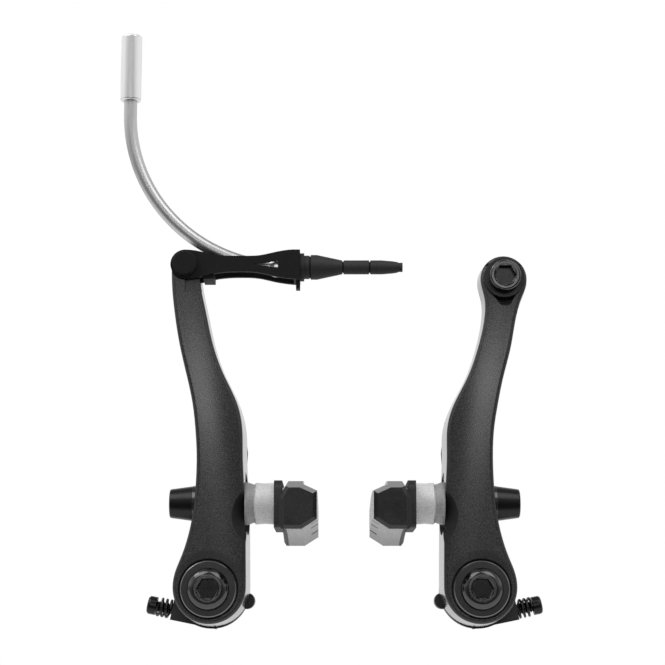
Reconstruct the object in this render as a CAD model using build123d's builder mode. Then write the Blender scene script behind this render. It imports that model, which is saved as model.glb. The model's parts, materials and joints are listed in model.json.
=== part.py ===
from build123d import *
from math import cos, degrees, hypot, radians, sin, tan
import os

os.makedirs("parts", exist_ok=True)

# Frame: origin midway between the two pivots, on the plane the bushes seat on.
# +Z runs up the arms, +X to the anchor arm, and depth is measured forward, along -Y.
# On either arm, u is the distance inboard of its pivot and v the height above it.

PIVOT_SPACING = 84.8
TINY = 0.01

# Pivot stack, in depth order
BUSH_BORE_R = 4.0
BUSH_RELIEF_R = 4.3
BUSH_LAND = 9.0
BUSH_R = 5.0
BUSH_LENGTH = 23.3
BUSH_FLANGE_R = 6.6
BUSH_FLANGE = 1.3
PIVOT_CLEARANCE = 0.05
WASHER_R = 8.7
WASHER_THICK = 1.6
WASHER_RECESS_GAP = 0.3
WASHER_SUNK = 0.7
RECESS_EDGE = 0.4
BOLT_R = 3.0
BOLT_HOLE_GAP = 0.15
PIVOT_HEAD_R = 6.5
PIVOT_HEAD_RIM = 1.1
PIVOT_HEAD_TALL = 3.4
PIVOT_HEAD_TOP_R = 4.3
PIVOT_HEAD_BULGE = 0.35
PIVOT_BOLT_REACH = 13.7
HEX_FLATS = 6.0
HEX_DEEP = 2.6
HEX_MOUTH = 0.2

# Arms
ARM_FRONT = BUSH_LENGTH + WASHER_SUNK
ARM_REAR = 9.0
ARM_DRAFT = 3.0
ARM_EDGE = 1.1
HUB_REAR = 7.5
HUB_BOTTOM = 10.7
# stations up an arm: (v, outboard u, inboard u)
LOWER_ARM = [
    (0.6, -11.1, 11.6),
    (9.7, -8.7, 11.5),
    (22.0, -5.35, 11.3),
    (32.0, -4.35, 10.8),
    (42.0, -4.15, 10.3),
    (51.0, -4.75, 10.0),
]
# stations above those: (share of the way on to the end's centre, outboard u, inboard u)
LINK_ARM_TOP = [
    (0.12, -5.5, 8.7),
    (0.32, -7.75, 3.95),
    (0.515, -10.15, 0.35),
    (0.715, -11.85, -1.95),
]
ANCHOR_ARM_TOP = [
    (0.125, -5.75, 8.3),
    (0.325, -7.75, 3.55),
    (0.535, -10.35, -0.05),
    (0.745, -12.25, -2.2),
    (0.87, -14.05, -2.2),
]
THIN_FROM = 46.0
THIN_TO = 67.0
TOP_THICK = 8.95
THIN_REAR = ARM_FRONT - TOP_THICK
PIN_U = -8.6
PIN_V = 102.9
PIN_END_R = 4.3
ANCHOR_U = -8.4
ANCHOR_V = 98.2
ANCHOR_END_R = 7.35
SCOOP_U = 17.5
SCOOP_V = 22.8
SCOOP_AHEAD = 5.0
SCOOP_DEPTH = ARM_FRONT + SCOOP_AHEAD
SCOOP_R = 11.5

# Brake shoe stack along its post
POST_V = 27.0
POST_SETBACK = 7.7
POST_DEPTH = ARM_FRONT - POST_SETBACK
POST_R = 3.0
POST_GAP = 0.3
SHOE_TRAVEL = 3.0
INNER_FACE_U = 10.9
INNER_FACE_R = 7.0
OUTER_FACE_U = -2.4
OUTER_FACE_R = 6.3
FACE_GAP = 0.02
DOME_R = 6.75
DOME_RIM = 0.8
DOME_NECK_R = 6.0
DOME_END_U = 13.9
DOME_CROWN = 1.2
SPACER_R = 6.6
SPACER_WAIST_R = 6.35
SPACER_EDGE = 0.45
PAD_BACK_U = 20.4
OUTER_DOME_R = 5.8
OUTER_DOME = 1.0
OUTER_CROWN = 0.8
OUTER_CUP_R = 5.6
OUTER_CUP_END_U = -5.6
NUT_R = 5.5
NUT_END_R = 4.5
NUT_END_U = -12.9
NUT_HEX_FLATS = 5.0
NUT_HEX_DEEP = 1.6
POST_END_U = -10.6
RIM_RADIUS = 250.0
PAD_LENGTH = 70.0
PAD_SHIFT = 7.0
PAD_BASE_LONG = 30.0
PAD_BASE_TALL = 14.7
PAD_BASE_DROP = 1.0
PAD_BASE_CORNER = 3.0
PAD_SIDE_U = 22.3
PAD_FACE_U = 33.8
PAD_TOP = 6.2
PAD_TOP_BEVEL = 4.2
PAD_TOP_BEVEL_TALL = 2.8
PAD_BOTTOM = -8.1
PAD_STEP = 0.9
PAD_NOSE_LONG = 5.0
PAD_NOSE_DROP = 1.8
PAD_END_BEVEL = 1.2
PAD_SHOULDER = 2.8
PAD_SHOULDER_TALL = 5.0
PAD_BEVEL = 4.6
PAD_BEVEL_TALL = 3.0
PAD_HEEL = 0.8
PAD_HEEL_TALL = 1.2
PAD_BASE_SINK = 0.6
BACKING_LONG = 14.0
BACKING_TALL = 9.0
BACKING_THICK = 1.5
GROOVE_WIDE = 1.4
GROOVE_DEEP = 2.2
GROOVE_PITCH = 14.0
GROOVES = 4

# Spring cup, return spring and tension screw
CUP_R = 12.0
CUP_WALL = 1.2
CUP_FLOOR = 1.2
CUP_FRONT = 7.2
CUP_LUG_U = 11.1
CUP_LUG_V = -3.2
CUP_LUG_R = 2.6
CUP_COIL_GAP = 0.5
CUP_EXIT = 15.0
STOP_PIN_R = 1.2
STOP_PIN_ROOT_R = 1.4
STOP_PIN_LENGTH = 4.0
WIRE_R = 0.75
COIL_R = 7.8
COIL_PITCH = 1.6
COIL_HALF_TURNS = 3
COIL_START = 3.3
LEG_LEAN = 3.4
LEG_BEND_R = 3.0
LEG_BEND_V = 44.0
LEG_END_U = 9.2
LEG_END_V = 54.0
PEG_R = 1.5
PEG_V = 50.0
PEG_END = 4.9
SCREW_U = -19.2
SCREW_V = -4.6
SCREW_TILT = 11.5
SCREW_DEPTH = 4.25
SCREW_R = 1.55
SCREW_CLEARANCE = 0.05
SCREW_HEAD_R = 2.9
SCREW_HEAD = 2.9
SCREW_REACH = 10.0
CROSS_WIDE = 0.9
CROSS_LONG = 3.8
CROSS_DEEP = 1.1
SMALL_COIL_R = 2.7
SMALL_WIRE_R = 0.4
SMALL_COIL_LENGTH = 5.3
SMALL_COIL_HALF_TURNS = 6
SMALL_COIL_GAP = 0.05
BLOCK_WIDE = 6.6
BLOCK_LONG = 15.0

# Link and its pin
PLATE_THICK = 1.6
PLATE_GAP = 0.25
FRONT_PLATE = ARM_FRONT - PLATE_THICK
REAR_PLATE = THIN_REAR - PLATE_GAP - PLATE_THICK
LINK_EYE_R = 4.7
LINK_NECK = 2.4
LINK_END = 4.75
LINK_END_X = -14.3
# stations along the link's plates: (share of the way from eye to end, above, below its axis)
LINK_EDGES = [
    (0.262, 3.0, 3.0),
    (0.48, 2.7, LINK_NECK),
    (0.654, 2.9, 2.8),
    (0.768, 3.8, 3.75),
    (0.913, 4.7, 4.6),
    (1.0, LINK_END, LINK_END),
]
LINK_END_WALL = 2.0
LINK_KEY_SLOT = 1.8
LINK_RECESS_GAP = 0.3
PIN_R = 2.5
PIN_CLEARANCE = 0.05
CAP_R = 3.85
CAP_TALL = 2.2
CAP_EDGE = 0.35
CAP_GAP = 0.15
CLIP_R = 3.6
CLIP_THICK = 0.9
STOP_TAB_X = -45.3
STOP_TAB_END_X = -41.8
STOP_TAB_LOW = 4.7
FINGER_LOW = 7.3
FINGER_THICK = 1.3
FINGER_WIDE = 4.0
WINDOW_TIP_X = -29.2
WINDOW_BASE_X = -21.3
WINDOW_TALL = 2.6

# Noodle, ferrule and boot
NOODLE_R = 2.1
NOODLE_BORE_R = 1.35
LINER_BORE_R = 0.85
NOODLE_BEND = 51.0
NOODLE_LEAD = 1.5
NOODLE_END_X = -17.5
FERRULE_R = 3.35
FERRULE_RISE = 4.5
FERRULE_LENGTH = 22.2
FERRULE_GRIP = 6.0
HOUSING_R = 2.55
HOUSING_DEEP = 16.0
FERRULE_EDGE = 0.6
TIP_R = 3.2
TIP_START_X = -22.5
TIP_CONE = 1.5
NOSE_R = 1.9
NOSE_END_X = -9.0
BOOT_RIM_R = 4.55
BOOT_RIM = 1.3
BOOT_COLLAR_R = 3.8
BOOT_COLLAR_END_X = -11.1
BOOT_CONE_R = 4.0
BOOT_CONE = 2.2
BOOT_GROOVE = 0.6
BOOT_TUBE_R = 2.27
BOOT_RING1_X = -0.5
BOOT_RING2_X = 8.1
BOOT_END_X = 18.7
BOOT_TAPER = 5.2
BOOT_TAPER_R = 1.7
BOOT_NIB = 1.5
BOOT_NIB_R = 1.5
BOOT_BORE_R = 0.9

# Cable anchor
ANCHOR_WASHER_R = 6.4
ANCHOR_WASHER = 1.8
ANCHOR_HEAD_R = 4.9
ANCHOR_HEAD = 4.6
ANCHOR_EDGE = 0.6
ANCHOR_HEX_DEEP = 3.0
CABLE_R = 0.85
CABLE_OFFSET = 4.0
POCKET_TOP = 4.3
POCKET_TOP_DROP = 4.2
POCKET_TIP = 1.3
POCKET_TIP_DROP = 8.6
POCKET_SKEW = 0.4
POCKET_DEEP = 3.0
POCKET_CORNER = 0.9

HALF = PIVOT_SPACING / 2
LINK_X = -HALF + PIN_U
LINK_DEPTH = (FRONT_PLATE + REAR_PLATE + PLATE_THICK) / 2
WASHER_FRONT = BUSH_LENGTH + WASHER_THICK
SHOE_AXIS = Axis((0, -POST_DEPTH, POST_V), (1, 0, 0))
CABLE_AXIS = Axis((0, -LINK_DEPTH, PIN_V), (1, 0, 0))
LEG_START_U = COIL_R * cos(radians(LEG_LEAN))
LEG_START_V = -COIL_R * sin(radians(LEG_LEAN))
LEG_U = LEG_START_U + (LEG_BEND_V - LEG_START_V) * tan(radians(LEG_LEAN))
LEG_SLOPE = (LEG_U - LEG_END_U) / (LEG_END_V - LEG_BEND_V)
LEG_DEPTH = COIL_START + COIL_HALF_TURNS * COIL_PITCH / 2


def front(depth):
    """Plane across the brake at a depth, facing forward: local x is X, local y is Z."""
    return Plane.XZ.offset(depth)


def face_at(x, z, depth):
    """Forward-facing plane at a depth, with its origin over x and z."""
    return Plane((x, -depth, z), x_dir=(1, 0, 0), z_dir=(0, -1, 0))


def across(side, u):
    """Plane square to the shoe post at u: local x is Y, local y is Z."""
    return Plane.YZ.offset(at(side, u))


def at(side, u):
    return side * (HALF - u)


def pivot_axis(side):
    return Axis((side * HALF, 0, 0), (0, 1, 0))


def pivot_profile(side):
    """Plane through a pivot axis: local x is the radius, local y is minus the depth."""
    return Plane((side * HALF, 0, 0), x_dir=(1, 0, 0), z_dir=(0, 0, 1))


def screw_plane(side, along):
    """Plane square to a tension screw, a distance outward of its head's middle."""
    out = Vector(side * cos(radians(SCREW_TILT)), 0, sin(radians(SCREW_TILT)))
    middle = Vector(at(side, SCREW_U), -SCREW_DEPTH, SCREW_V)
    return Plane(middle + out * along, x_dir=(0, -1, 0), z_dir=out)


def save(builder, label):
    builder.part.label = label
    export_step(builder.part, f"parts/{label}.step")


def arm_outline(side, stations, end_u, end_v, end_r, grow):
    """Outline of an arm, from the hub round to its rounded top, widened by grow."""
    tip = (end_v, end_u - end_r, end_u + end_r)
    rows = stations + [tip]
    outer = [(at(side, out - grow), v) for v, out, inn in rows]
    inner = [(at(side, inn + grow), v) for v, out, inn in rows]
    low = (at(side, 0), -HUB_BOTTOM - grow)
    high = (at(side, end_u), end_v + end_r + grow)
    with BuildLine() as outline:
        ThreePointArc(outer[0], low, inner[0])
        Spline(*inner, tangents=((0, 1), (0, 1)))
        ThreePointArc(inner[-1], high, outer[-1])
        Spline(*outer, tangents=((0, 1), (0, 1)))
    make_face(outline.edges())


def shoe_profile(side, points):
    """Ring round the shoe post from (u, radius) points."""
    with BuildSketch(front(POST_DEPTH)) as ring:
        with BuildLine():
            Polyline([(at(side, u), POST_V + r) for u, r in points], close=True)
        make_face()
    revolve(ring.sketch, axis=SHOE_AXIS)


def cable_profile(points):
    """Ring round the cable line from (x, radius) points."""
    with BuildSketch(front(LINK_DEPTH)) as ring:
        with BuildLine():
            Polyline([(x, PIN_V + r) for x, r in points], close=True)
        make_face()
    revolve(ring.sketch, axis=CABLE_AXIS)


def hex_socket(x, z, depth, deep):
    """Hexagon socket cut back from a head's flat end, with a broken edge at its mouth."""
    corner = HEX_FLATS / 2 / cos(radians(30))
    end = face_at(x, z, depth)
    with BuildSketch(end) as hexagon:
        RegularPolygon(corner, 6)
    extrude(hexagon.sketch, amount=-deep, mode=Mode.SUBTRACT)
    with BuildSketch(end) as mouth:
        Circle(corner + HEX_MOUTH)
    with BuildSketch(end.offset(-2 * HEX_MOUTH)) as throat:
        Circle(corner - HEX_MOUTH)
    loft([mouth.sketch.face(), throat.sketch.face()], mode=Mode.SUBTRACT)


def coil(stand, radius, pitch, half_turns, hand):
    """Path of a coil: half turns tilted by half a pitch, so each leads smoothly into the next."""
    for k in range(half_turns):
        facing = (-1) ** k
        start = (facing * radius, 0, k * pitch / 2)
        middle = (0, hand * facing * hypot(radius, pitch / 4), (k + 0.5) * pitch / 2)
        end = (-facing * radius, 0, (k + 1) * pitch / 2)
        ThreePointArc(*[stand.from_local_coords(p) for p in (start, middle, end)])


def round_wire(edges, radius):
    """Round wire laid along lines and arcs, as plain cylinders and torus sections."""
    for edge in edges:
        with BuildSketch(Plane(edge @ 0, z_dir=edge % 0)) as section:
            Circle(radius)
        if edge.geom_type == GeomType.CIRCLE:
            turn = Axis(edge.arc_center, (edge @ 0 - edge.arc_center).cross(edge % 0))
            revolve(section.sketch, axis=turn, revolution_arc=degrees(edge.length / edge.radius))
        else:
            extrude(section.sketch, amount=edge.length)


def make_arm(side, top, end_u, end_v, end_r):
    """Forged arm: drafted body, thinned behind its upper half, with hub, slot and faces."""
    knee = LOWER_ARM[-1][0]
    stations = LOWER_ARM + [(knee + share * (end_v - knee), out, inn) for share, out, inn in top]
    draft = (ARM_FRONT - ARM_REAR) * tan(radians(ARM_DRAFT))
    with BuildPart() as arm:
        with BuildSketch(front(ARM_FRONT)):
            arm_outline(side, stations, end_u, end_v, end_r, 0)
        with BuildSketch(front(ARM_REAR)):
            arm_outline(side, stations, end_u, end_v, end_r, draft)
        loft(ruled=True)
        fillet(arm.faces().sort_by(Axis.Y)[0].edges(), ARM_EDGE)
        with BuildSketch(front(HUB_REAR)):
            with Locations((at(side, 0), 0)):
                Circle(HUB_BOTTOM)
        extrude(amount=ARM_REAR - HUB_REAR + ARM_EDGE)
        with BuildSketch(Plane.YZ):
            with BuildLine():
                back = Spline(
                    (-ARM_REAR + TINY, THIN_FROM),
                    (-THIN_REAR, THIN_TO),
                    tangents=((0, 1), (0, 1)),
                )
                Polyline(
                    back @ 1,
                    (-THIN_REAR, end_v + 2 * end_r),
                    (0, end_v + 2 * end_r),
                    (0, THIN_FROM),
                    back @ 0,
                )
            make_face()
        extrude(amount=PIVOT_SPACING, both=True, mode=Mode.SUBTRACT)
        with BuildSketch(front(0)):
            with Locations((at(side, 0), 0)):
                Circle(BUSH_R + PIVOT_CLEARANCE)
        extrude(amount=2 * ARM_FRONT, mode=Mode.SUBTRACT)
        with BuildSketch(front(BUSH_LENGTH - WASHER_RECESS_GAP)):
            with Locations((at(side, 0), 0)):
                Circle(WASHER_R + WASHER_RECESS_GAP)
        extrude(amount=ARM_FRONT, mode=Mode.SUBTRACT)
        mouths = arm.edges().filter_by(GeomType.CIRCLE).filter_by(
            lambda e: abs(e.radius - WASHER_R - WASHER_RECESS_GAP) < TINY)
        chamfer(mouths.sort_by(Axis.Y)[0], RECESS_EDGE)
        with Locations((at(side, SCOOP_U), -SCOOP_DEPTH, SCOOP_V)):
            Sphere(SCOOP_R, mode=Mode.SUBTRACT)
        for u, r, away in ((INNER_FACE_U, INNER_FACE_R, 1), (OUTER_FACE_U, OUTER_FACE_R, -1)):
            with BuildSketch(across(side, u)):
                with Locations((-POST_DEPTH, POST_V)):
                    SlotCenterToCenter(2 * SHOE_TRAVEL, 2 * r, rotation=90)
            extrude(amount=-side * away * 2 * INNER_FACE_R, mode=Mode.SUBTRACT)
        with BuildSketch(across(side, 0)):
            with Locations((-POST_DEPTH, POST_V)):
                SlotCenterToCenter(2 * SHOE_TRAVEL, 2 * (POST_R + POST_GAP), rotation=90)
        extrude(amount=2 * INNER_FACE_U, both=True, mode=Mode.SUBTRACT)
        peg_u = LEG_END_U + (LEG_END_V - PEG_V) * LEG_SLOPE - WIRE_R - PEG_R - FACE_GAP
        with BuildSketch(front(PEG_END)):
            with Locations((at(side, peg_u), PEG_V)):
                Circle(PEG_R)
        extrude(amount=ARM_REAR - PEG_END + PEG_R)
    return arm


def link_plate():
    """Outline shared by both plates of the link."""
    with Locations((LINK_X, PIN_V)):
        Circle(LINK_EYE_R)
    rows = [(0, LINK_EYE_R, LINK_EYE_R)] + LINK_EDGES
    long = LINK_END_X - LINK_X
    upper = [(LINK_X + share * long, PIN_V + above) for share, above, below in rows]
    lower = [(LINK_X + share * long, PIN_V - below) for share, above, below in rows]
    with BuildLine() as outline:
        Spline(*upper, tangents=((1, 0), (1, 0)))
        Spline(*lower, tangents=((1, 0), (1, 0)))
        Line(upper[0], lower[0])
        Line(upper[-1], lower[-1])
    make_face(outline.edges())


SIDES = {"left": -1, "right": 1}

for name, side in SIDES.items():
    pivot = (at(side, 0), 0)

    # Steel sleeve that stands on the frame's boss: the arm turns on its outside
    with BuildPart() as bush:
        with BuildSketch(pivot_profile(side)):
            with BuildLine():
                Polyline(
                    (BUSH_BORE_R, 0),
                    (BUSH_FLANGE_R, 0),
                    (BUSH_FLANGE_R, -BUSH_FLANGE),
                    (BUSH_R, -BUSH_FLANGE),
                    (BUSH_R, -BUSH_LENGTH),
                    (BUSH_RELIEF_R, -BUSH_LENGTH),
                    (BUSH_RELIEF_R, -BUSH_LAND),
                    (BUSH_BORE_R, -BUSH_LAND),
                    close=True,
                )
            make_face()
        revolve(axis=pivot_axis(side))
    save(bush, f"{name}_pivot_bush")

    with BuildPart() as washer:
        with BuildSketch(front(BUSH_LENGTH)):
            with Locations(pivot):
                Circle(WASHER_R)
                Circle(BOLT_R + BOLT_HOLE_GAP, mode=Mode.SUBTRACT)
        extrude(amount=WASHER_THICK)
        rim = washer.edges().filter_by(GeomType.CIRCLE).sort_by(SortBy.RADIUS)[-2:]
        chamfer(rim.sort_by(Axis.Y)[0], WASHER_RECESS_GAP)
    save(washer, f"{name}_pivot_washer")

    # Button-head bolt: a straight rim, a crown, and a flat end with the socket
    with BuildPart() as bolt:
        with BuildSketch(pivot_profile(side)):
            with BuildLine():
                base = -WASHER_FRONT
                crown = base - PIVOT_HEAD_TALL
                Polyline(
                    (0, crown),
                    (0, base + PIVOT_BOLT_REACH),
                    (BOLT_R, base + PIVOT_BOLT_REACH),
                    (BOLT_R, base),
                    (PIVOT_HEAD_R, base),
                    (PIVOT_HEAD_R, base - PIVOT_HEAD_RIM),
                )
                ThreePointArc(
                    (PIVOT_HEAD_R, base - PIVOT_HEAD_RIM),
                    (
                        (PIVOT_HEAD_R + PIVOT_HEAD_TOP_R) / 2 + PIVOT_HEAD_BULGE,
                        base - (PIVOT_HEAD_RIM + PIVOT_HEAD_TALL) / 2 - PIVOT_HEAD_BULGE,
                    ),
                    (PIVOT_HEAD_TOP_R, crown),
                )
                Line((PIVOT_HEAD_TOP_R, crown), (0, crown))
            make_face()
        revolve(axis=pivot_axis(side))
        hex_socket(at(side, 0), 0, WASHER_FRONT + PIVOT_HEAD_TALL, HEX_DEEP)
    save(bolt, f"{name}_pivot_bolt")

    # Plastic cup round the coil, with a block for the tension screw and a lug for the stopper pin
    with BuildPart() as cup:
        with BuildSketch(front(BUSH_FLANGE)):
            with Locations(pivot):
                Circle(CUP_R)
            middle = screw_plane(side, -SCREW_HEAD / 2 - SMALL_COIL_LENGTH - BLOCK_LONG / 2).origin
            with Locations((middle.X, middle.Z)):
                Rectangle(BLOCK_LONG, BLOCK_WIDE, rotation=side * SCREW_TILT)
        extrude(amount=CUP_FRONT - BUSH_FLANGE)
        with BuildSketch(front(BUSH_FLANGE + CUP_FLOOR)):
            with Locations(pivot):
                Circle(CUP_R - CUP_WALL)
        extrude(amount=CUP_FRONT, mode=Mode.SUBTRACT)
        with BuildSketch(front(BUSH_FLANGE)):
            with Locations((at(side, CUP_LUG_U), CUP_LUG_V)):
                Circle(CUP_LUG_R)
            with Locations(pivot):
                Circle(COIL_R + WIRE_R + CUP_COIL_GAP, mode=Mode.SUBTRACT)
        extrude(amount=CUP_FRONT - BUSH_FLANGE)
        with BuildSketch(front(BUSH_FLANGE)):
            with Locations((at(side, CUP_LUG_U), CUP_LUG_V)):
                Circle(STOP_PIN_ROOT_R)
        extrude(amount=CUP_FRONT - BUSH_FLANGE - CUP_FLOOR, mode=Mode.SUBTRACT)
        with BuildSketch(front(0)):
            with Locations(pivot):
                Circle(BUSH_R)
        extrude(amount=CUP_FRONT, mode=Mode.SUBTRACT)
        with BuildSketch(front(BUSH_FLANGE + CUP_FLOOR)):
            with Locations((at(side, CUP_EXIT / 2 + WIRE_R), CUP_EXIT / 2 + WIRE_R)):
                Rectangle(CUP_EXIT, CUP_EXIT)
        extrude(amount=CUP_FRONT, mode=Mode.SUBTRACT)
        with BuildSketch(screw_plane(side, 0)):
            Circle(SCREW_R + SCREW_CLEARANCE)
        extrude(amount=-SCREW_REACH - SCREW_HEAD, mode=Mode.SUBTRACT)
    save(cup, f"{name}_spring_cup")

    with BuildPart() as stop_pin:
        with BuildSketch(front(-STOP_PIN_LENGTH)):
            with Locations((at(side, CUP_LUG_U), CUP_LUG_V)):
                Circle(STOP_PIN_R)
        extrude(amount=STOP_PIN_LENGTH + BUSH_FLANGE)
        with BuildSketch(front(BUSH_FLANGE)):
            with Locations((at(side, CUP_LUG_U), CUP_LUG_V)):
                Circle(STOP_PIN_ROOT_R)
        extrude(amount=CUP_FRONT - BUSH_FLANGE - CUP_FLOOR)
    save(stop_pin, f"{name}_stopper_pin")

    # Return spring: a coil round the bush and a long leg that bears on the arm's peg
    with BuildPart() as spring:
        outward = (-1) ** COIL_HALF_TURNS * Vector(-side * LEG_START_U, 0, LEG_START_V)
        stand = Plane((side * HALF, -COIL_START, 0), x_dir=outward, z_dir=(0, -1, 0))
        with BuildLine() as turns:
            coil(stand, COIL_R, COIL_PITCH, COIL_HALF_TURNS, -side)
        with BuildLine(front(LEG_DEPTH)) as leg:
            FilletPolyline(
                (at(side, LEG_START_U), LEG_START_V),
                (at(side, LEG_U), LEG_BEND_V),
                (at(side, LEG_END_U), LEG_END_V),
                radius=LEG_BEND_R,
            )
        round_wire(turns.edges() + leg.edges(), WIRE_R)
    save(spring, f"{name}_return_spring")

    with BuildPart() as screw:
        with BuildSketch(screw_plane(side, -SCREW_HEAD / 2)):
            Circle(SCREW_HEAD_R)
        extrude(amount=SCREW_HEAD)
        far = screw.faces().sort_by(Axis(screw_plane(side, 0).origin, screw_plane(side, 0).z_dir))[-1]
        fillet(far.edges(), SCREW_HEAD / 3)
        with BuildSketch(screw_plane(side, SCREW_HEAD / 2)):
            Rectangle(CROSS_LONG, CROSS_WIDE)
            Rectangle(CROSS_WIDE, CROSS_LONG)
        extrude(amount=-CROSS_DEEP, mode=Mode.SUBTRACT)
        with BuildSketch(screw_plane(side, -SCREW_HEAD / 2)):
            Circle(SCREW_R)
        extrude(amount=-SCREW_REACH)
    save(screw, f"{name}_tension_screw")

    with BuildPart() as small_spring:
        first = SMALL_COIL_LENGTH + SCREW_HEAD / 2 - SMALL_WIRE_R - SMALL_COIL_GAP
        rise = SMALL_COIL_LENGTH - 2 * (SMALL_WIRE_R + SMALL_COIL_GAP)
        small_pitch = 2 * rise / SMALL_COIL_HALF_TURNS
        with BuildLine() as turns:
            coil(screw_plane(side, -first), SMALL_COIL_R, small_pitch, SMALL_COIL_HALF_TURNS, 1)
        round_wire(turns.edges(), SMALL_WIRE_R)
    save(small_spring, f"{name}_tension_spring")

    # Shoe stack, from the pad outwards: spacer, convex washer, arm, convex washer, cup washer, nut
    dome_base = INNER_FACE_U + FACE_GAP
    with BuildPart() as dome:
        shoe_profile(side, [
            (dome_base, POST_R),
            (dome_base, DOME_R),
            (dome_base + DOME_RIM, DOME_R),
            (DOME_END_U, DOME_NECK_R),
            (DOME_END_U + DOME_CROWN, POST_R),
        ])
    save(dome, f"{name}_convex_washer")

    with BuildPart() as spacer:
        waist = (DOME_END_U + PAD_BACK_U) / 2
        shoe_profile(side, [
            (DOME_END_U + DOME_CROWN, POST_R),
            (DOME_END_U, DOME_NECK_R),
            (DOME_END_U + SPACER_EDGE, SPACER_R),
            (waist, SPACER_WAIST_R),
            (PAD_BACK_U, SPACER_R),
            (PAD_BACK_U, POST_R),
        ])
    save(spacer, f"{name}_concave_spacer")

    outer_base = OUTER_FACE_U - FACE_GAP
    crown_u = outer_base - OUTER_DOME
    with BuildPart() as outer_dome:
        shoe_profile(side, [
            (outer_base, POST_R),
            (outer_base, OUTER_DOME_R),
            (crown_u, OUTER_DOME_R),
            (crown_u - OUTER_CROWN, POST_R),
        ])
    save(outer_dome, f"{name}_outer_convex_washer")

    with BuildPart() as outer_cup:
        shoe_profile(side, [
            (crown_u - OUTER_CROWN, POST_R),
            (crown_u, OUTER_DOME_R),
            (OUTER_CUP_END_U, OUTER_CUP_R),
            (OUTER_CUP_END_U, POST_R),
        ])
    save(outer_cup, f"{name}_cup_washer")

    with BuildPart() as nut:
        shoe_profile(side, [
            (OUTER_CUP_END_U, POST_R),
            (OUTER_CUP_END_U, NUT_R),
            (NUT_END_U, NUT_END_R),
            (NUT_END_U, 0),
            (POST_END_U, 0),
            (POST_END_U, POST_R),
        ])
        end = nut.edges().filter_by(GeomType.CIRCLE).filter_by(
            lambda e: abs(e.center().X - at(side, NUT_END_U)) < TINY)
        fillet(end, NUT_END_R / 8)
        with BuildSketch(across(side, NUT_END_U)):
            with Locations((-POST_DEPTH, POST_V)):
                RegularPolygon(NUT_HEX_FLATS / 2 / cos(radians(30)), 6)
        extrude(amount=-side * NUT_HEX_DEEP, mode=Mode.SUBTRACT)
    save(nut, f"{name}_shoe_nut")

    with BuildPart() as post:
        with BuildSketch(across(side, POST_END_U)):
            with Locations((-POST_DEPTH, POST_V)):
                Circle(POST_R)
        extrude(amount=-side * (PAD_SIDE_U - POST_END_U))
        with BuildSketch(across(side, PAD_SIDE_U)):
            with Locations((-POST_DEPTH, POST_V)):
                Rectangle(BACKING_LONG, BACKING_TALL)
        extrude(amount=-side * BACKING_THICK)
    save(post, f"{name}_shoe_post")

    # Pad block swept round the rim's curve, with a boss on its back and cross grooves in its face
    with BuildPart() as pad:
        nose = (PAD_LENGTH / 2 - PAD_SHIFT) / RIM_RADIUS
        hub = Vector(0, -POST_DEPTH, POST_V - RIM_RADIUS)
        out = Vector(0, -sin(nose), cos(nose))
        section = Plane(hub + out * RIM_RADIUS, x_dir=(1, 0, 0), z_dir=(0, -cos(nose), -sin(nose)))
        with BuildSketch(section):
            with BuildLine():
                Polyline(
                    (at(side, PAD_SIDE_U), PAD_TOP - PAD_SHOULDER_TALL),
                    (at(side, PAD_SIDE_U + PAD_SHOULDER), PAD_TOP),
                    (at(side, PAD_FACE_U - PAD_TOP_BEVEL), PAD_TOP),
                    (at(side, PAD_FACE_U - PAD_TOP_BEVEL), PAD_TOP - PAD_STEP),
                    (at(side, PAD_FACE_U), PAD_TOP - PAD_TOP_BEVEL_TALL),
                    (at(side, PAD_FACE_U), PAD_BOTTOM + PAD_BEVEL_TALL),
                    (at(side, PAD_FACE_U - PAD_BEVEL), PAD_BOTTOM),
                    (at(side, PAD_SIDE_U + PAD_HEEL), PAD_BOTTOM),
                    (at(side, PAD_SIDE_U), PAD_BOTTOM + PAD_HEEL_TALL),
                    close=True,
                )
            make_face()
        revolve(axis=Axis(hub, (-1, 0, 0)), revolution_arc=degrees(PAD_LENGTH / RIM_RADIUS))
        ends = pad.faces().sort_by(Axis.Y)
        chamfer(ends[0].edges() + ends[-1].edges(), PAD_END_BEVEL)
        # long bevels that drop the top towards both ends
        for turn, away in ((nose, 1), (nose - PAD_LENGTH / RIM_RADIUS, -1)):
            up = Vector(0, -sin(turn), cos(turn))
            ahead = Vector(0, -cos(turn), -sin(turn)) * away
            with BuildSketch(Plane(hub + up * RIM_RADIUS, x_dir=ahead, z_dir=ahead.cross(up))):
                with BuildLine():
                    Polyline(
                        (-PAD_NOSE_LONG, PAD_TOP),
                        (PAD_NOSE_LONG, PAD_TOP - 2 * PAD_NOSE_DROP),
                        (PAD_NOSE_LONG, 2 * PAD_TOP),
                        (-PAD_NOSE_LONG, 2 * PAD_TOP),
                        close=True,
                    )
                make_face()
            extrude(amount=PIVOT_SPACING, both=True, mode=Mode.SUBTRACT)
        with BuildSketch(across(side, PAD_BACK_U)):
            with Locations((-POST_DEPTH, POST_V - PAD_BASE_DROP)):
                RectangleRounded(PAD_BASE_LONG, PAD_BASE_TALL, PAD_BASE_CORNER)
        extrude(amount=-side * (PAD_SIDE_U - PAD_BACK_U + PAD_BASE_SINK))
        add(post.part, mode=Mode.SUBTRACT)
        with BuildSketch(across(side, PAD_FACE_U - GROOVE_DEEP)):
            with GridLocations(GROOVE_PITCH, 0, GROOVES, 1):
                with Locations((PAD_SHIFT - POST_DEPTH, POST_V)):
                    Rectangle(GROOVE_WIDE, 4 * PAD_TOP)
        extrude(amount=-side * 2 * GROOVE_DEEP, mode=Mode.SUBTRACT)
    save(pad, f"{name}_brake_pad")

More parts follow.
